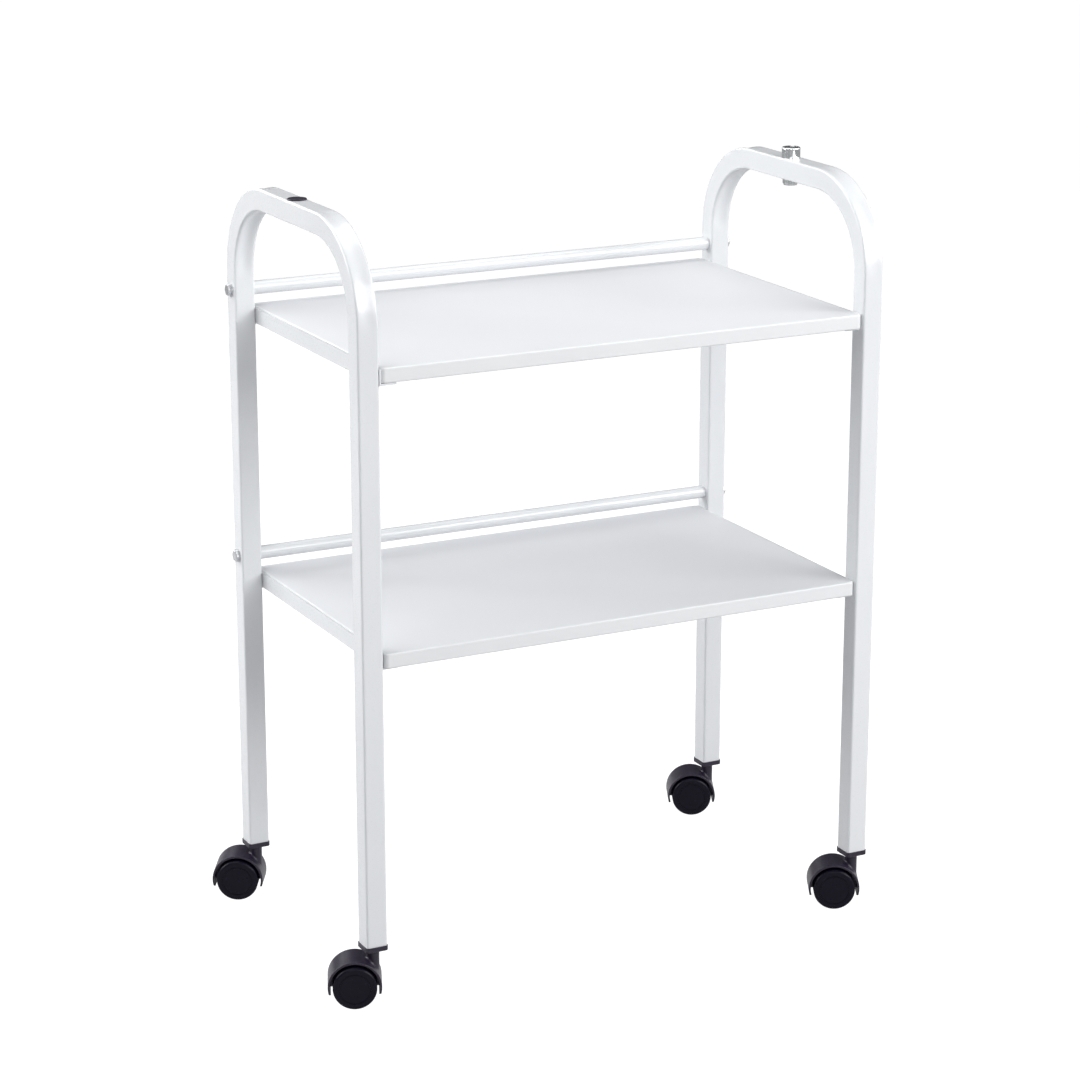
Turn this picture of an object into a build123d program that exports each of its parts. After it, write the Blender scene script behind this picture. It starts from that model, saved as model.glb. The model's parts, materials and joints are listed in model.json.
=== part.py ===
from build123d import *
from math import cos, radians, sin, sqrt
import os

os.makedirs("parts", exist_ok=True)

# Rolling salon trolley: two bent side frames, two shelf boards, two back rails and four casters.
# +X is right, +Y is back, +Z is up. The floor is Z = 0. Millimetres.

# ---- driving dimensions: side frames ----
shelf_width = 600.0          # shelf board, side to side
depth = 375.0                # over the legs, front to back
height = 882.0               # floor to the top of the side frames
tube = 25.0                  # square tube, outside
tube_wall = 1.5
tube_corner = 2.5            # outside corner radius of the tube
bend_radius = 110.0          # outside radius of the top bends
side_gap = 2.5               # from a shelf board's end to the leg beside it

# ---- driving dimensions: shelves and their supports ----
shelf_thickness = 17.0
shelf_tops = {"lower": 411.0, "upper": 730.0}
edging_thickness = 2.0
edging_round = 1.8           # rounding of the edging's long edges
shelf_corner = 5.0           # corner radius of a shelf in plan
support_leg = 20.0           # steel angle under each shelf end
support_thickness = 2.0
support_rise = 16.0          # its upright leg, beside the board and 1 mm short of its top face
support_setback = 6.0        # front end of a support behind the front of the leg
upper_left_setback = 0.0     # this one support comes right to the front
screw_pitch = 220.0          # between the two screws of one support
screw_shank_radius = 2.0
screw_head_radius = 3.8
screw_head_height = 2.2
screw_length = 14.0          # into the board, above the support
screw_slack = 0.03           # radial room round a shank in the board
screw_end_room = 0.5         # hole beyond the tip of a screw
screw_cross_length = 4.4     # cross recess in a screw's head
screw_cross_width = 0.9
support_hole_slack = 0.25    # radial room round a shank in the support

# ---- driving dimensions: back rails ----
rail_diameter = 16.0
rail_wall = 1.2
rail_above_shelf = 20.5      # rail axis above the shelf's top face
rail_nut_length = 20.0
bolt_radius = 4.0            # M8 shank
bolt_into_nut = 16.0
bolt_hole_radius = 4.3
bolt_head_flats = 13.0
bolt_head_height = 3.9       # a low head
bolt_head_chamfer = 0.8
washer_radius = 8.0
washer_thickness = 1.2
thread_slack = 0.03          # radial room between a screw thread and its nut, modelled smooth

# ---- driving dimensions: lamp socket and hole plug on top of the frames ----
socket_bore_radius = 6.5
socket_stem_radius = 8.0
socket_hole_radius = 8.15
socket_head_radius = 11.0
socket_head_height = 12.5
socket_head_round = 1.8
socket_mouth_chamfer = 0.5
socket_below = 7.5           # stem below the tube
socket_nut_radius = 9.3      # a round ring nut
socket_nut_height = 5.0
socket_nut_chamfer = 0.7
socket_nut_slot = 2.0        # two slots across its lower face, for a pin spanner
socket_nut_slot_depth = 1.5
socket_washer_radius = 9.8
socket_washer_thickness = 1.0
plug_cap_radius = 11.0
plug_cap_height = 1.6
plug_shank_length = 7.0
plug_wall = 1.6
plug_slack = 0.1             # radial room in the frame's hole

# ---- driving dimensions: casters ----
caster_height = 70.0         # floor to the end of the leg
flange_thickness = 6.0
flange_lip = 1.0             # flange beyond the tube on every side
flange_round = 1.2           # rounding under the flange
insert_depth = 30.0          # leg insert inside the tube
insert_slack = 0.2           # between the insert and the tube's inside, per side
insert_corner = 1.0
insert_chamfer = 0.8
stem_radius = 4.0
stem_up = 24.0               # stem inside the leg insert
stem_down = 14.5             # stem inside the caster's barrel
stem_collar_radius = 6.0
stem_collar_height = 0.6
stem_chamfer = 0.8
stem_end_room = 0.5          # hole beyond the tip of the stem
swivel_gap = 0.3             # below the collar, above the barrel
running_slack = 0.05         # radial, stem in its barrel and axle in its wheels
trail = 21.0                 # swivel axis to the axle
wheel_radius = 25.0
wheel_inner_face = 4.0       # from the caster's middle
wheel_outer_face = 24.0
wheel_edge = 3.0             # rounding of the tread's outer edge
wheel_rim = 3.5
wheel_disc = 3.0
wheel_hub_radius = 6.0
wheel_groove_radius = 17.5   # ring groove in the outer face
wheel_groove_depth = 0.7
wheel_groove_half_width = 0.6
axle_radius = 2.5
axle_reach = 20.5            # from the caster's middle to the end of the axle
axle_chamfer = 0.4
axle_end_room = 0.4          # bore beyond the end of the axle
hood_radius = 30.5
hood_wall = 2.4
hood_half_length = 20.0
hood_below_axle = 8.0
hood_rim_round = 0.9         # outer edge of the hood's two rims
web_half_thickness = 3.0
web_below_axle = 5.0
web_boss_radius = 7.5
barrel_radius = 7.0
barrel_blend = 2.5           # fillet between the barrel and the hood

# How each caster stands: angle of its trail from +X, counterclockwise seen from above.
caster_angles = {
    "front_left": 157.0,
    "front_right": 152.5,
    "rear_left": 151.0,
    "rear_right": 154.5,
}

# ---- worked out ----
frame_width = shelf_width + 2 * (side_gap + tube)
leg_x = (frame_width - tube) / 2
leg_y = (depth - tube) / 2
inner_x = frame_width / 2 - tube
screw_x = shelf_width / 2 - support_leg / 2
axle_height = wheel_radius
flange_underside = caster_height - flange_thickness
barrel_top = flange_underside - stem_collar_height - swivel_gap
rail_heights = {level: top + rail_above_shelf for level, top in shelf_tops.items()}


def caster_reach(angle, direction):
    """How far a caster reaches from its leg in one direction, its hood and wheels as plan rectangles."""
    along, across = cos(radians(angle - direction)), abs(sin(radians(angle - direction)))
    hood = hood_radius * abs(along) + hood_half_length * across
    wheels = wheel_radius * abs(along) + wheel_outer_face * across
    return trail * along + max(hood, wheels)


def side_reach(least, direction, *pair):
    """How far the trolley reaches from a pair of legs, which is past its casters or at least so far."""
    return max(least, *(caster_reach(caster_angles[corner], direction) for corner in pair))


# The origin is the middle of the whole footprint, with the bolts and the casters as they stand.
bolt_stand_out = tube / 2 + washer_thickness + bolt_head_height
right_reach = side_reach(bolt_stand_out, 0, "front_right", "rear_right")
back_reach = side_reach(tube / 2, 90, "rear_left", "rear_right")
left_reach = side_reach(bolt_stand_out, 180, "front_left", "rear_left")
front_reach = side_reach(tube / 2, 270, "front_left", "front_right")
middle_x = (left_reach - right_reach) / 2
middle_y = (front_reach - back_reach) / 2

sides = {"left": -1, "right": 1}
corners = {
    "front_left": (middle_x - leg_x, middle_y - leg_y),
    "front_right": (middle_x + leg_x, middle_y - leg_y),
    "rear_left": (middle_x - leg_x, middle_y + leg_y),
    "rear_right": (middle_x + leg_x, middle_y + leg_y),
}


def write(piece, label):
    piece.part.label = label
    export_step(piece.part, f"parts/{label}.step")


def side_plane(x, y=middle_y, z=0.0):
    """A plane seen from +X: its x runs back, its y runs up, its normal is +X."""
    return Plane(origin=(x, y, z), x_dir=(0, 1, 0), z_dir=(1, 0, 0))


# ---- side frames: one bent square tube each ----
def side_frame(side):
    x = middle_x + sides[side] * leg_x
    front, back = middle_y - leg_y, middle_y + leg_y
    top = height - tube / 2
    with BuildPart() as frame:
        with BuildLine() as path:
            FilletPolyline(
                (x, front, caster_height), (x, front, top), (x, back, top), (x, back, caster_height),
                radius=bend_radius - tube / 2,
            )
        with BuildSketch(Plane(origin=(x, front, caster_height), z_dir=(0, 0, 1))):
            RectangleRounded(tube, tube, tube_corner)
            RectangleRounded(tube - 2 * tube_wall, tube - 2 * tube_wall, tube_corner - tube_wall,
                             mode=Mode.SUBTRACT)
        sweep(path=path.line)
        # The right frame is drilled right through for the lamp socket, the left one only from above.
        hole_depth = tube + 2 if side == "right" else tube / 2
        with Locations((x, middle_y, height + 1)):
            Cylinder(socket_hole_radius, hole_depth, align=(Align.CENTER, Align.CENTER, Align.MAX),
                     mode=Mode.SUBTRACT)
        for rail_height in rail_heights.values():
            with BuildSketch(side_plane(x, back, rail_height)):
                Circle(bolt_hole_radius)
            extrude(amount=tube, both=True, mode=Mode.SUBTRACT)
    write(frame, f"{side}_side_frame")


# ---- shelf boards with their edging ----
def shelf(level):
    top = shelf_tops[level]
    underside = Plane.XY.offset(top - shelf_thickness)
    core_width, core_depth = shelf_width - 2 * edging_thickness, depth - 2 * edging_thickness
    core_corner = shelf_corner - edging_thickness
    with BuildPart() as board:
        with BuildSketch(underside):
            with Locations((middle_x, middle_y)):
                RectangleRounded(core_width, core_depth, core_corner)
        extrude(amount=shelf_thickness)
        with BuildSketch(underside):
            with Locations((middle_x, middle_y)):
                with GridLocations(2 * screw_x, screw_pitch, 2, 2):
                    Circle(screw_shank_radius + screw_slack)
        extrude(amount=screw_length + screw_end_room, mode=Mode.SUBTRACT)
    write(board, f"{level}_shelf_board")

    with BuildPart() as edging:
        with BuildSketch(underside):
            with Locations((middle_x, middle_y)):
                RectangleRounded(shelf_width, depth, shelf_corner)
                RectangleRounded(core_width, core_depth, core_corner, mode=Mode.SUBTRACT)
        extrude(amount=shelf_thickness)
        rims = [face.outer_wire() for face in edging.faces().filter_by(Axis.Z)]
        fillet([edge for rim in rims for edge in rim.edges()], edging_round)
    write(edging, f"{level}_shelf_edging")


# ---- steel angles that carry the shelf ends, between the front and back legs ----
def shelf_support(level, side):
    setback = upper_left_setback if (level, side) == ("upper", "left") else support_setback
    inward = -sides[side]
    outer = middle_x - inward * inner_x
    underside = shelf_tops[level] - shelf_thickness
    back_end = Plane(origin=(outer, middle_y + depth / 2, underside), x_dir=(1, 0, 0), z_dir=(0, -1, 0))
    with BuildPart() as support:
        with BuildSketch(back_end):
            with BuildLine():
                Polyline(
                    (0, -support_thickness), (inward * support_leg, -support_thickness),
                    (inward * support_leg, 0), (inward * support_thickness, 0),
                    (inward * support_thickness, support_rise), (0, support_rise), close=True,
                )
            make_face()
        extrude(amount=depth - setback)
        with BuildSketch(Plane(origin=(middle_x - inward * screw_x, middle_y, underside))):
            with GridLocations(1, screw_pitch, 1, 2):
                Circle(screw_shank_radius + support_hole_slack)
        extrude(amount=2 * support_thickness, both=True, mode=Mode.SUBTRACT)
    write(support, f"{level}_{side}_shelf_support")


def shelf_screws(level):
    """Four pan-head screws, up through the supports into the board."""
    head_top = shelf_tops[level] - shelf_thickness - support_thickness
    places = GridLocations(2 * screw_x, screw_pitch, 2, 2)
    with BuildPart() as screws:
        with BuildSketch(Plane(origin=(middle_x, middle_y, head_top))):
            with places:
                Circle(screw_head_radius)
        extrude(amount=-screw_head_height)
        fillet(screws.faces().sort_by(Axis.Z)[:4].edges(), screw_head_height * 0.45)
        with BuildSketch(Plane(origin=(middle_x, middle_y, head_top - screw_head_height))):
            with places:
                Rectangle(screw_cross_length, screw_cross_width)
                Rectangle(screw_cross_width, screw_cross_length)
        extrude(amount=screw_head_height / 2, mode=Mode.SUBTRACT)
        with BuildSketch(Plane(origin=(middle_x, middle_y, head_top))):
            with places:
                Circle(screw_shank_radius)
        extrude(amount=support_thickness + screw_length)
    write(screws, f"{level}_shelf_screws")


# ---- back rails, each bolted through both back legs ----
def back_rail(level):
    z = rail_heights[level]
    y = middle_y + leg_y
    inner_radius = rail_diameter / 2 - rail_wall
    with BuildPart() as rail:
        with BuildSketch(side_plane(middle_x, y, z)):
            Circle(rail_diameter / 2)
            Circle(inner_radius, mode=Mode.SUBTRACT)
        extrude(amount=inner_x, both=True)
    write(rail, f"{level}_back_rail")

    with BuildPart() as nuts:
        for outward in sides.values():
            with BuildSketch(side_plane(middle_x + outward * inner_x, y, z)):
                Circle(inner_radius)
                Circle(bolt_radius + thread_slack, mode=Mode.SUBTRACT)
            extrude(amount=-outward * rail_nut_length)
    write(nuts, f"{level}_rail_end_nuts")

    with BuildPart() as washers:
        for outward in sides.values():
            with BuildSketch(side_plane(middle_x + outward * frame_width / 2, y, z)):
                Circle(washer_radius)
                Circle(bolt_hole_radius, mode=Mode.SUBTRACT)
            extrude(amount=outward * washer_thickness)
    write(washers, f"{level}_rail_washers")

    with BuildPart() as bolts:
        for outward in sides.values():
            under_head = middle_x + outward * (frame_width / 2 + washer_thickness)
            with BuildSketch(side_plane(under_head, y, z)):
                RegularPolygon(bolt_head_flats / 2, 6, major_radius=False)
            head = extrude(amount=outward * bolt_head_height)
            end_face = head.faces().sort_by(Axis.X)[-1 if outward > 0 else 0]
            chamfer(end_face.edges(), bolt_head_chamfer)
            with BuildSketch(side_plane(under_head, y, z)):
                Circle(bolt_radius)
            extrude(amount=-outward * (washer_thickness + tube + bolt_into_nut))
    write(bolts, f"{level}_rail_bolts")


# ---- lamp socket on the right frame, plug in the left one ----
def lamp_socket():
    x = middle_x + leg_x
    top = Plane(origin=(x, middle_y, height))
    under = height - tube
    with BuildPart() as socket:
        with BuildSketch(top):
            Circle(socket_head_radius)
        extrude(amount=socket_head_height)
        fillet(socket.faces().sort_by(Axis.Z)[-1].edges(), socket_head_round)
        with BuildSketch(top):
            Circle(socket_stem_radius)
        extrude(amount=-(tube + socket_below))
        with BuildSketch(top.offset(socket_head_height)):
            Circle(socket_bore_radius)
        extrude(amount=-(socket_head_height + tube + socket_below), mode=Mode.SUBTRACT)
        mouth = socket.faces().sort_by(Axis.Z)[-1].edges().sort_by(SortBy.RADIUS)[0]
        chamfer(mouth, socket_mouth_chamfer)
    write(socket, "lamp_socket")

    with BuildPart() as washer:
        with BuildSketch(Plane(origin=(x, middle_y, under))):
            Circle(socket_washer_radius)
            Circle(socket_hole_radius, mode=Mode.SUBTRACT)
        extrude(amount=-socket_washer_thickness)
    write(washer, "lamp_socket_washer")

    with BuildPart() as nut:
        with BuildSketch(Plane(origin=(x, middle_y, under - socket_washer_thickness))):
            Circle(socket_nut_radius)
        extrude(amount=-socket_nut_height)
        chamfer(nut.faces().sort_by(Axis.Z)[0].edges(), socket_nut_chamfer)
        nut_face = under - socket_washer_thickness - socket_nut_height
        with BuildSketch(Plane(origin=(x, middle_y, nut_face))):
            Rectangle(2 * socket_nut_radius + 1, socket_nut_slot)
        extrude(amount=socket_nut_slot_depth, mode=Mode.SUBTRACT)
        with BuildSketch(Plane(origin=(x, middle_y, under))):
            Circle(socket_stem_radius + thread_slack)
        extrude(amount=-(socket_washer_thickness + socket_nut_height), mode=Mode.SUBTRACT)
    write(nut, "lamp_socket_nut")


def hole_plug():
    x = middle_x - leg_x
    seat = Plane(origin=(x, middle_y, height))
    shank_radius = socket_hole_radius - plug_slack
    with BuildPart() as plug:
        with BuildSketch(seat):
            Circle(plug_cap_radius)
        extrude(amount=plug_cap_height)
        fillet(plug.faces().sort_by(Axis.Z)[-1].edges(), plug_cap_height * 0.6)
        with BuildSketch(seat):
            Circle(shank_radius)
            Circle(shank_radius - plug_wall, mode=Mode.SUBTRACT)
        extrude(amount=-plug_shank_length)
    write(plug, "lamp_hole_plug")


# ---- casters ----
def leg_insert(corner):
    """Square plastic insert with a flange, which holds the caster's stem in the leg."""
    x, y = corners[corner]
    foot = Plane(origin=(x, y, caster_height))
    inside = tube - 2 * tube_wall - 2 * insert_slack
    with BuildPart() as insert:
        with BuildSketch(foot):
            RectangleRounded(tube + 2 * flange_lip, tube + 2 * flange_lip, tube_corner + flange_lip)
        extrude(amount=-flange_thickness)
        fillet(insert.faces().sort_by(Axis.Z)[0].edges(), flange_round)
        with BuildSketch(foot):
            RectangleRounded(inside, inside, insert_corner)
        extrude(amount=insert_depth)
        chamfer(insert.faces().sort_by(Axis.Z)[-1].edges(), insert_chamfer)
        with BuildSketch(foot.offset(-flange_thickness)):
            Circle(stem_radius)
        extrude(amount=flange_thickness + stem_up, mode=Mode.SUBTRACT)
    write(insert, f"{corner}_leg_insert")


def caster_stem(corner):
    x, y = corners[corner]
    with BuildPart() as stem:
        with BuildSketch(Plane(origin=(x, y, flange_underside))):
            Circle(stem_radius)
        extrude(amount=flange_thickness + stem_up)
        with BuildSketch(Plane(origin=(x, y, flange_underside))):
            Circle(stem_collar_radius)
        extrude(amount=-stem_collar_height)
        with BuildSketch(Plane(origin=(x, y, barrel_top))):
            Circle(stem_radius)
        extrude(amount=-stem_down)
        with BuildSketch(Plane(origin=(x, y, barrel_top))):
            Circle(stem_radius)
        extrude(amount=swivel_gap + stem_collar_height)
        for end in (0, -1):
            chamfer(stem.faces().sort_by(Axis.Z)[end].edges(), stem_chamfer)
    write(stem, f"{corner}_caster_stem")


def caster_planes(corner):
    """The swivel plane, with x along the trail, and the wheel plane, with x along the trail and y up."""
    x, y = corners[corner]
    c, s = cos(radians(caster_angles[corner])), sin(radians(caster_angles[corner]))
    swivel = Plane(origin=(x, y, 0), x_dir=(c, s, 0), z_dir=(0, 0, 1))
    wheel = Plane(origin=(x + trail * c, y + trail * s, axle_height), x_dir=(c, s, 0), z_dir=(s, -c, 0))
    return swivel, wheel


def caster_hood(corner):
    """Hood over both wheels, with a web between them that holds the axle, and the swivel barrel."""
    swivel, wheel = caster_planes(corner)
    cavity_radius = hood_radius - hood_wall
    low = hood_radius + hood_below_axle
    with BuildPart() as hood:
        with BuildSketch(wheel):
            Circle(hood_radius)
            with Locations((0, -low)):
                Rectangle(2 * hood_radius + 2, 2 * hood_radius, mode=Mode.SUBTRACT)
        extrude(amount=hood_half_length, both=True)
        fillet(hood.edges().filter_by(GeomType.CIRCLE), hood_rim_round)
        with BuildSketch(swivel.offset(axle_height)):
            Circle(barrel_radius)
        extrude(amount=barrel_top - axle_height)
        fillet(hood.edges(Select.LAST).filter_by(GeomType.BSPLINE), barrel_blend)
        with BuildSketch(wheel.offset(web_half_thickness), wheel.offset(-hood_half_length - 1)):
            Circle(cavity_radius)
        extrude(amount=hood_half_length + 1 - web_half_thickness, mode=Mode.SUBTRACT)
        with BuildSketch(wheel):
            Circle(cavity_radius)
            with Locations((0, -web_below_axle)):
                Rectangle(2 * cavity_radius, 2 * cavity_radius, align=(Align.CENTER, Align.MAX),
                          mode=Mode.INTERSECT)
        extrude(amount=web_half_thickness, both=True, mode=Mode.SUBTRACT)
        with BuildSketch(wheel):
            Circle(web_boss_radius)
        extrude(amount=web_half_thickness, both=True)
        with BuildSketch(wheel):
            Circle(axle_radius)
        extrude(amount=web_half_thickness + 1, both=True, mode=Mode.SUBTRACT)
        with BuildSketch(swivel.offset(barrel_top)):
            Circle(stem_radius + running_slack)
        extrude(amount=-(stem_down + stem_end_room), mode=Mode.SUBTRACT)
    write(hood, f"{corner}_caster_hood")


def caster_axle(corner):
    _, wheel = caster_planes(corner)
    with BuildPart() as axle:
        with BuildSketch(wheel):
            Circle(axle_radius)
        extrude(amount=axle_reach, both=True)
        chamfer(axle.edges().filter_by(GeomType.CIRCLE), axle_chamfer)
    write(axle, f"{corner}_caster_axle")


def caster_wheel(corner, name, facing):
    """One wheel of the pair, facing +1 or -1 along the axle: rim, outer disc and hub in one moulding."""
    _, wheel = caster_planes(corner)
    axle_way = wheel.z_dir * facing
    section = Plane(origin=wheel.origin, x_dir=axle_way, z_dir=axle_way.cross(Vector(0, 0, 1)))
    inner, outer = wheel_inner_face, wheel_outer_face
    bore = axle_radius + running_slack
    bore_end = axle_reach + axle_end_room
    rim_inside = wheel_radius - wheel_rim
    edge = wheel_edge * (1 - sqrt(0.5))
    with BuildPart() as roller:
        with BuildSketch(section):
            with BuildLine():
                Polyline(
                    (outer - wheel_edge, wheel_radius), (inner, wheel_radius),
                    (inner, rim_inside), (outer - wheel_disc, rim_inside),
                    (outer - wheel_disc, wheel_hub_radius), (inner, wheel_hub_radius),
                    (inner, bore), (bore_end, bore), (bore_end, 0), (outer, 0),
                    (outer, wheel_radius - wheel_edge),
                )
                ThreePointArc(
                    (outer, wheel_radius - wheel_edge),
                    (outer - edge, wheel_radius - edge),
                    (outer - wheel_edge, wheel_radius),
                )
            make_face()
        revolve(axis=Axis(wheel.origin, axle_way))
        groove = Plane(origin=wheel.origin + axle_way * outer, z_dir=axle_way)
        with BuildSketch(groove):
            Circle(wheel_groove_radius + wheel_groove_half_width)
            Circle(wheel_groove_radius - wheel_groove_half_width, mode=Mode.SUBTRACT)
        extrude(amount=-wheel_groove_depth, mode=Mode.SUBTRACT)
    write(roller, f"{corner}_{name}_wheel")


for side in sides:
    side_frame(side)
for level in shelf_tops:
    shelf(level)
    for side in sides:
        shelf_support(level, side)
    shelf_screws(level)
    back_rail(level)
lamp_socket()
hole_plug()
for corner in corners:
    leg_insert(corner)
    caster_stem(corner)
    caster_hood(corner)
    caster_axle(corner)
    caster_wheel(corner, "near", -1)
    caster_wheel(corner, "far", 1)
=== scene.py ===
import json
import math

import bmesh
import bpy
from mathutils import Euler, Matrix, Vector


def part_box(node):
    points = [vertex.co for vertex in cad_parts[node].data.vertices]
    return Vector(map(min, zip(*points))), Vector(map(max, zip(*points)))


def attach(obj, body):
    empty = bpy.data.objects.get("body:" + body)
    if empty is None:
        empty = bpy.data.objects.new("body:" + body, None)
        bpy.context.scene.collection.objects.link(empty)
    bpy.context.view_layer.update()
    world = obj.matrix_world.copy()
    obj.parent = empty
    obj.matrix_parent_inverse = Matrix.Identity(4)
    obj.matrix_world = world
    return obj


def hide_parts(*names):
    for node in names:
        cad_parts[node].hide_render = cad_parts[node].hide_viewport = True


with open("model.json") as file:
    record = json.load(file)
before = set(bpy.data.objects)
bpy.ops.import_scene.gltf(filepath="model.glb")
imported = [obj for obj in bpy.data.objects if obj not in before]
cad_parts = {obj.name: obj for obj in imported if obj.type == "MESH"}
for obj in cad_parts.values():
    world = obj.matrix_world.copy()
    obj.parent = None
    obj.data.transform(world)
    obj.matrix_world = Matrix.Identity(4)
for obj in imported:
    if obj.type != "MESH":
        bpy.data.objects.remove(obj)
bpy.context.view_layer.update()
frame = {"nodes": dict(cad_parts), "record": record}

MM = 0.001

# ---- the side frames' sizes that their boxes don't give ----
BEND_RADIUS = 110 * MM      # outside of the bends
TUBE_WALL = 1.5 * MM
TUBE_CORNER = 2.5 * MM      # outside corner radius of the tube
SOCKET_HOLE = 8.15 * MM     # radius, as are all the holes
BOLT_HOLE = 4.3 * MM
DENT = 1.7 * MM             # how far bending has pressed in the inner wall
OUTER_DENT = 0.5            # the outer wall's dent, as a share of that
DENT_RUN_OUT = 8 * MM       # the dent goes on past the bend by this much
BEND_STEPS = 60             # rings along one bend
WALL_STEPS = 24             # points across one wall
CORNER_STEPS = 6            # and round one corner
ROUND_STEPS = 72            # round a drilled hole
SHARP = math.radians(38)    # an edge sharper than this stays sharp

# ---- welds ----
BEAD = 3 * MM               # size across
BEAD_PITCH = 1.7 * MM       # from ripple to ripple
BEAD_SHARE = 0.84           # how much of the joint's length is welded
RIPPLE = 0.07               # height of a ripple, as a share of the bead's size
RIPPLE_LEAN = 0.35          # how far its crown trails, as a share of the pitch
RIPPLE_STEPS = 10           # rings along one ripple
CROWN_STEPS = 8             # points round the bead

# ---- brightness of the room and the floor ----
ROOM_LOW, ROOM_HIGH = 0.02, 0.05    # as light, from below the horizon and from overhead
MIRRORED_ROOM = 0.12                # added in a reflection
MIRRORED_FLOOR = 0.3
FLOOR_HALF_WIDTH = 30

# ---- camera ----
LENS = 104.5
EYE = Vector((-1.614, -3.156, 1.486))    # in x and y from the trolley's middle, in z from the floor
TURN, TILT = math.radians(-26.84), math.radians(16.27)

# ---- places and sizes, all read from the frame ----
left_box, right_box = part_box("left_side_frame"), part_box("right_side_frame")
middle = (left_box[0] + right_box[1]) / 2
tube = left_box[1].x - left_box[0].x
front, back = left_box[0].y + tube / 2, left_box[1].y - tube / 2    # middle of the legs
foot, top = left_box[0].z, left_box[1].z - tube / 2                 # end of the legs, middle of the top tube
rail_heights = [
    (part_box(rail)[0].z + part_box(rail)[1].z) / 2 for rail in ("lower_back_rail", "upper_back_rail")
]


# ---- materials ----
class Surface:
    """A Principled material, with short calls for the textures that go on it."""

    def __init__(self, name, **sockets):
        self.material = bpy.data.materials.new(name)
        self.material.use_nodes = True
        self.nodes = self.material.node_tree.nodes
        self.links = self.material.node_tree.links
        self.shader = self.nodes["Principled BSDF"]
        self.place = self.nodes.new("ShaderNodeTexCoord").outputs["Object"]
        self.bumped = None
        for socket, value in sockets.items():
            self.shader.inputs[socket.replace("_", " ")].default_value = value

    def add(self, kind, inputs=(), **settings):
        """A new node, with settings on it and values or links on its inputs."""
        node = self.nodes.new(kind)
        for setting, value in settings.items():
            setattr(node, setting, value)
        for socket, value in dict(inputs).items():
            if isinstance(value, bpy.types.NodeSocket):
                self.links.new(value, node.inputs[socket])
            else:
                node.inputs[socket].default_value = value
        return node

    def noise(self, grain, detail=2.0, stretch=(1, 1, 1)):
        """Noise whose blotches are about one grain across, in metres, each axis stretched so many times."""
        scaled = self.add("ShaderNodeMapping", {"Vector": self.place, "Scale": [1 / s for s in stretch]})
        texture = self.add("ShaderNodeTexNoise", {
            "Vector": scaled.outputs["Vector"], "Scale": 1 / grain, "Detail": detail,
        })
        return texture.outputs["Fac"]

    def remap(self, value, low, high, start=0.3, end=0.7):
        """The value, from start to end, spread from low to high."""
        node = self.add("ShaderNodeMapRange", {
            "Value": value, "From Min": start, "From Max": end, "To Min": low, "To Max": high,
        })
        return node.outputs["Result"]

    def color(self, factor, one, other):
        """Base colour, from one to the other."""
        node = self.add("ShaderNodeMix", {0: factor, 6: (*one, 1), 7: (*other, 1)}, data_type="RGBA")
        self.links.new(node.outputs[2], self.shader.inputs["Base Color"])

    def roughness(self, value):
        self.links.new(value, self.shader.inputs["Roughness"])

    def relief(self, height, depth):
        """One more layer of relief, depth metres high."""
        bump = self.add("ShaderNodeBump", {"Height": height, "Distance": depth, "Strength": 1.0})
        if self.bumped:
            self.links.new(self.bumped, bump.inputs["Normal"])
        self.bumped = bump.outputs["Normal"]
        self.links.new(self.bumped, self.shader.inputs["Normal"])


def white_paint():
    """Semi-gloss powder coat: an orange-peel skin, with a fine speckle in its gloss."""
    paint = Surface("white_paint", Coat_Weight=0.5, Coat_Roughness=0.08)
    paint.color(paint.remap(paint.noise(0.12), 0, 1), (0.68, 0.695, 0.715), (0.70, 0.715, 0.73))
    paint.roughness(paint.remap(paint.noise(0.0012, 3), 0.26, 0.36))
    paint.relief(paint.noise(0.0035, 2), 0.00006)
    paint.relief(paint.noise(0.0009, 1), 0.00001)
    return paint.material


def shelf_laminate():
    """White melamine: a fine pearl texture, and a sheen that varies a little over the board."""
    laminate = Surface("shelf_laminate", Specular_IOR_Level=0.03)
    laminate.color(laminate.remap(laminate.noise(0.2), 0, 1), (0.640, 0.650, 0.673), (0.660, 0.670, 0.689))
    laminate.roughness(laminate.remap(laminate.noise(0.002, 4), 0.50, 0.62))
    laminate.relief(laminate.noise(0.0008, 3), 0.00003)
    return laminate.material


def shelf_edging():
    """White plastic edging, drawn lengthwise, a little smoother than the laminate."""
    edging = Surface("shelf_edging")
    edging.color(edging.remap(edging.noise(0.1), 0, 1), (0.69, 0.70, 0.715), (0.71, 0.72, 0.73))
    edging.roughness(edging.remap(edging.noise(0.0008, 3, (40, 40, 1)), 0.30, 0.40))
    edging.relief(edging.noise(0.0006, 2, (60, 60, 1)), 0.00002)
    return edging.material


def black_plastic():
    """Moulded black plastic with a spark-eroded grain."""
    plastic = Surface("black_plastic", Specular_IOR_Level=0.4)
    plastic.color(plastic.remap(plastic.noise(0.02, 4), 0, 1), (0.012, 0.0085, 0.019), (0.019, 0.013, 0.030))
    plastic.roughness(plastic.remap(plastic.noise(0.0015, 4), 0.30, 0.42))
    plastic.relief(plastic.noise(0.0005, 3), 0.00004)
    return plastic.material


def wheel_nylon():
    """Black nylon: smoother than the hood, with faint scuffs."""
    nylon = Surface("wheel_nylon", Specular_IOR_Level=0.15)
    scuffs = nylon.remap(nylon.noise(0.004, 8), 0, 1, 0.62, 0.72)
    nylon.color(scuffs, (0.0030, 0.0021, 0.0080), (0.011, 0.009, 0.017))
    nylon.roughness(nylon.remap(nylon.noise(0.003, 5), 0.26, 0.42))
    nylon.relief(nylon.noise(0.0006, 2), 0.00002)
    return nylon.material


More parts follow.
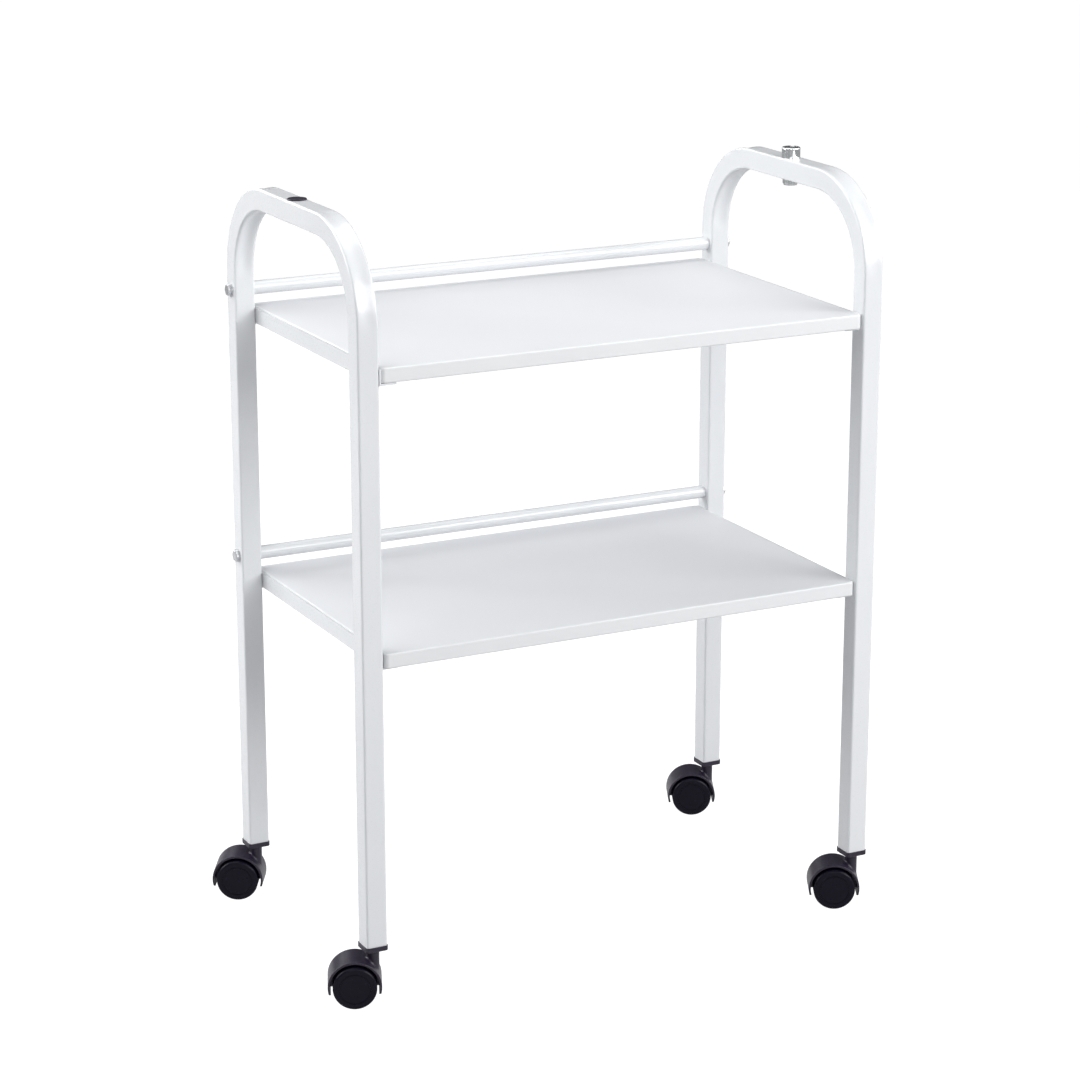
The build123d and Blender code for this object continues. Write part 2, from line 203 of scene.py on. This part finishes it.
def chrome():
    """Polished chrome with the faintest turning marks."""
    metal = Surface("chrome", Metallic=1.0)
    metal.color(metal.remap(metal.noise(0.01, 3), 0, 1), (0.76, 0.79, 0.80), (0.84, 0.86, 0.87))
    metal.roughness(metal.remap(metal.noise(0.0004, 3, (6, 6, 1)), 0.10, 0.20))
    metal.relief(metal.noise(0.0003, 1, (20, 20, 1)), 0.000004)
    return metal.material


def zinc_steel():
    """Bright zinc plating, cloudy and finely pitted."""
    metal = Surface("zinc_steel", Metallic=1.0)
    metal.color(metal.remap(metal.noise(0.004, 4), 0, 1), (0.50, 0.51, 0.53), (0.64, 0.65, 0.66))
    metal.roughness(metal.remap(metal.noise(0.0008, 4), 0.22, 0.42))
    metal.relief(metal.noise(0.0005, 3), 0.00002)
    return metal.material


materials = {make.__name__: make() for make in (
    white_paint, shelf_laminate, shelf_edging, black_plastic, wheel_nylon, chrome, zinc_steel,
)}


def finish_with(piece, slot):
    """Gives a piece one of the materials, and nothing else."""
    piece.data.materials.clear()
    piece.data.materials.append(materials[slot])


for subpart in frame["record"]["subparts"]:
    finish_with(frame["nodes"][subpart["node"]], subpart["material_slot"])


# ---- building pieces ----
def link(name, data):
    """A new object in the scene, for a mesh, a light or a camera."""
    piece = bpy.data.objects.new(name, data)
    bpy.context.scene.collection.objects.link(piece)
    return piece


def to_mesh(name, shape):
    """A mesh from a bmesh, smooth except across its sharp edges."""
    bmesh.ops.recalc_face_normals(shape, faces=shape.faces)
    mesh = bpy.data.meshes.new(name)
    shape.to_mesh(mesh)
    shape.free()
    smooth(mesh)
    return mesh


def smooth(mesh):
    mesh.shade_smooth()
    mesh.set_sharp_from_angle(angle=SHARP)


def drill(piece, radius, start, end):
    """Cuts a round hole through a piece, from start to end."""
    axis = Vector(end) - Vector(start)
    place = Matrix.Translation((Vector(start) + Vector(end)) / 2)
    bit = bmesh.new()
    bmesh.ops.create_cone(
        bit, segments=ROUND_STEPS, cap_ends=True, radius1=radius, radius2=radius, depth=axis.length,
        matrix=place @ axis.to_track_quat("Z", "Y").to_matrix().to_4x4(),
    )
    cutter = link("drill", to_mesh("drill", bit))
    cut = piece.modifiers.new("drill", "BOOLEAN")
    cut.operation, cut.solver, cut.object = "DIFFERENCE", "EXACT", cutter
    bpy.context.view_layer.update()
    drilled = bpy.data.meshes.new_from_object(piece.evaluated_get(bpy.context.evaluated_depsgraph_get()))
    piece.modifiers.remove(cut)
    piece.data = drilled
    bpy.data.objects.remove(cutter)


def ease(t):
    """A smooth rise from 0 to 1."""
    t = min(max(t, 0), 1)
    return t * t * (3 - 2 * t)


# ---- side frames: the CAD's bent tubes, with the dents that a tube bender leaves ----
def section(half, corner):
    """Round a square section: across the bend, outward from its middle, and the wall's share of the dent."""
    flat = half - corner
    points = []
    for turn, wall_dent in enumerate((0, -OUTER_DENT, 0, 1)):
        walls = []
        for step in range(WALL_STEPS + 1):
            across = math.sin(math.pi * (step / WALL_STEPS - 0.5))
            dent = (1 - across * across) ** 2 * wall_dent
            walls.append((flat * across, half, dent))
        for step in range(1, CORNER_STEPS):
            angle = math.pi / 2 * step / CORNER_STEPS
            walls.append((flat + corner * math.sin(angle), flat + corner * math.cos(angle), 0))
        spin = math.radians(-90 * turn + 90)
        points += [
            (a * math.cos(spin) - b * math.sin(spin), a * math.sin(spin) + b * math.cos(spin), dent)
            for a, b, dent in walls
        ]
    return points


def bend_rings():
    """Up the front leg and over to the middle: (y, z) of each ring, its outward direction, its dent."""
    radius = BEND_RADIUS - tube / 2
    arc = radius * math.pi / 2
    centre_y, centre_z = front + radius, top - radius
    rings = [(front, foot, -1, 0, 0)]
    fade = 2.5 * DENT_RUN_OUT
    for step in range(BEND_STEPS + 1):
        along = -DENT_RUN_OUT + (arc + 2 * DENT_RUN_OUT) * step / BEND_STEPS
        depth = DENT * ease((along + DENT_RUN_OUT) / fade) * ease((arc + DENT_RUN_OUT - along) / fade)
        angle = min(max(along, 0), arc) / radius
        out_y, out_z = -math.cos(angle), math.sin(angle)
        past = along - angle * radius
        rings.append((
            centre_y + radius * out_y + past * out_z, centre_z + radius * out_z - past * out_y,
            out_y, out_z, depth,
        ))
    return rings


def side_frame(side, box):
    x = (box[0].x + box[1].x) / 2
    up = bend_rings()
    rings = up + [(front + back - y, z, -out_y, out_z, depth) for y, z, out_y, out_z, depth in reversed(up)]
    shape = bmesh.new()
    skins = []
    for half, corner in ((tube / 2, TUBE_CORNER), (tube / 2 - TUBE_WALL, TUBE_CORNER - TUBE_WALL)):
        skins.append([
            [
                shape.verts.new((x + a, y + out_y * (b + depth * dent), z + out_z * (b + depth * dent)))
                for a, b, dent in section(half, corner)
            ]
            for y, z, out_y, out_z, depth in rings
        ])
    outside, bore = skins
    bands = [(one, other) for skin in skins for one, other in zip(skin, skin[1:])]
    for one, other in bands + [(outside[0], bore[0]), (outside[-1], bore[-1])]:
        for n in range(len(one)):
            shape.faces.new((one[n - 1], one[n], other[n], other[n - 1]))
    piece = link(f"{side}_bent_tube", to_mesh("bent_tube", shape))
    # The right frame is drilled right through for the lamp socket, the left one only from above.
    drill_end = top - tube if side == "right" else top
    drill(piece, SOCKET_HOLE, (x, middle.y, top + tube), (x, middle.y, drill_end))
    for height in rail_heights:
        drill(piece, BOLT_HOLE, (x - tube, back, height), (x + tube, back, height))
    smooth(piece.data)
    finish_with(piece, "white_paint")
    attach(piece, "frame")
    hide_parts(f"{side}_side_frame")


side_frame("left", left_box)
side_frame("right", right_box)


# ---- welds that hold the shelf supports to the legs ----
def bead(shape, corner, along, one_wall, other_wall, length):
    """A rippled fillet weld in the corner between two walls."""
    rings = []
    steps = round(length / BEAD_PITCH) * RIPPLE_STEPS
    for step in range(steps + 1):
        run = length * (step / steps - 0.5)
        taper = math.sqrt(max(1 - abs(2 * run / length) ** 6, 0.02))
        size = 0.92 * BEAD * taper * (1 + RIPPLE * math.cos(2 * math.pi * run / BEAD_PITCH))
        ring = [shape.verts.new(corner + along * run - (one_wall + other_wall) * BEAD / 10)]
        for turn in range(CROWN_STEPS + 1):
            angle = math.pi / 2 * turn / CROWN_STEPS
            lean = along * (BEAD_PITCH * RIPPLE_LEAN * math.sin(2 * angle))
            reach = one_wall * math.cos(angle) + other_wall * math.sin(angle)
            ring.append(shape.verts.new(corner + along * run + lean + reach * size))
        rings.append(ring)
    for one, other in zip(rings, rings[1:]):
        for n in range(len(one)):
            shape.faces.new((one[n - 1], one[n], other[n], other[n - 1]))
    shape.faces.new(rings[0])
    shape.faces.new(rings[-1])


def shelf_welds():
    """Under both ends of each shelf support, where it crosses a leg's inner face."""
    shape = bmesh.new()
    for level in ("lower", "upper"):
        for side, inward, wall in (("left", 1, left_box[1].x), ("right", -1, right_box[0].x)):
            low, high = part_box(f"{level}_{side}_shelf_support")
            for start, end in ((low.y, front + tube / 2), (back - tube / 2, high.y)):
                corner = Vector((wall, (start + end) / 2, low.z))
                bead(shape, corner, Vector((0, 1, 0)), Vector((inward, 0, 0)), Vector((0, 0, -1)),
                     (end - start) * BEAD_SHARE)
    piece = link("shelf_welds", to_mesh("shelf_welds", shape))
    finish_with(piece, "white_paint")
    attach(piece, "frame")


shelf_welds()


# ---- floor, lights and camera ----
def floor():
    """A plain pale floor, far larger than the view: near white to the camera, greyer as a light."""
    mesh = bpy.data.meshes.new("floor")
    sheet = bmesh.new()
    bmesh.ops.create_grid(sheet, x_segments=1, y_segments=1, size=FLOOR_HALF_WIDTH)
    sheet.to_mesh(mesh)
    sheet.free()
    piece = link("floor", mesh)
    ground = Surface("floor", Roughness=0.9, Emission_Color=(1, 1, 1, 1))
    rays = ground.add("ShaderNodeLightPath").outputs
    ground.color(rays["Is Camera Ray"], (0.40, 0.40, 0.41), (0.15, 0.15, 0.15))
    glow = ground.add("ShaderNodeMath", {
        0: rays["Is Glossy Ray"], 1: MIRRORED_FLOOR, 2: rays["Is Camera Ray"],
    }, operation="MULTIPLY_ADD").outputs[0]
    ground.links.new(glow, ground.shader.inputs["Emission Strength"])
    piece.data.materials.append(ground.material)


def softbox(name, place, width, height, power):
    """A soft area light, so far from the trolley's middle, that faces it. Metres and watts."""
    light = bpy.data.lights.new(name, "AREA")
    light.shape = "RECTANGLE"
    light.size, light.size_y, light.energy = width, height, power
    lamp = link(name, light)
    lamp.location = middle + Vector(place)
    lamp.rotation_euler = (-Vector(place)).to_track_quat("-Z", "Y").to_euler()


def studio():
    """A white room: pure white to the camera, softer as light, and dimmer low down than overhead."""
    world = bpy.data.worlds.new("studio")
    bpy.context.scene.world = world
    world.use_nodes = True
    nodes, links = world.node_tree.nodes, world.node_tree.links
    seen = nodes["Background"]
    seen.inputs["Color"].default_value = (1, 1, 1, 1)
    seen.inputs["Strength"].default_value = 1.0
    light = nodes.new("ShaderNodeBackground")
    light.inputs["Color"].default_value = (0.94, 0.97, 1.0, 1)
    way = nodes.new("ShaderNodeSeparateXYZ")
    links.new(nodes.new("ShaderNodeTexCoord").outputs["Generated"], way.inputs[0])
    rise = nodes.new("ShaderNodeMapRange")
    rise.inputs["To Min"].default_value, rise.inputs["To Max"].default_value = ROOM_LOW, ROOM_HIGH
    links.new(way.outputs["Z"], rise.inputs["Value"])
    rays = nodes.new("ShaderNodeLightPath")
    walls = nodes.new("ShaderNodeMath")
    walls.operation = "MULTIPLY_ADD"
    walls.inputs[1].default_value = MIRRORED_ROOM
    links.new(rays.outputs["Is Glossy Ray"], walls.inputs[0])
    links.new(rise.outputs["Result"], walls.inputs[2])
    links.new(walls.outputs[0], light.inputs["Strength"])
    mix = nodes.new("ShaderNodeMixShader")
    links.new(rays.outputs["Is Camera Ray"], mix.inputs["Fac"])
    links.new(light.outputs[0], mix.inputs[1])
    links.new(seen.outputs[0], mix.inputs[2])
    links.new(mix.outputs[0], nodes["World Output"].inputs["Surface"])
    bpy.context.scene.view_settings.view_transform = "Standard"


def camera():
    """The front left three-quarter view from a little above, with a long lens."""
    lens = bpy.data.cameras.new("camera")
    lens.lens = LENS
    lens.clip_end = 100
    eye = link("camera", lens)
    eye.location = (middle.x + EYE.x, middle.y + EYE.y, EYE.z)
    eye.rotation_euler = Euler((math.pi / 2 - TILT, 0, TURN))
    bpy.context.scene.camera = eye


floor()
softbox("front", (0.9, -2.9, 1.5), 1.6, 1.6, 39)
softbox("front_right", (2.0, -2.0, 1.3), 1.6, 1.6, 55)
softbox("right", (2.9, -0.6, 1.2), 1.8, 2.0, 28)
softbox("front_left", (-1.2, -2.6, 0.9), 1.4, 1.4, 16)
softbox("left", (-2.4, 1.2, 1.0), 1.4, 1.6, 43)
softbox("left_back", (-1.8, 2.0, 1.4), 1.4, 1.8, 35)
softbox("back", (-0.6, 2.7, 1.2), 1.8, 1.4, 13)
softbox("left_high", (-1.5, -0.4, 1.6), 1.2, 1.6, 12)
softbox("overhead", (0, 0.3, 2.0), 2.0, 1.2, 16)
studio()
camera()
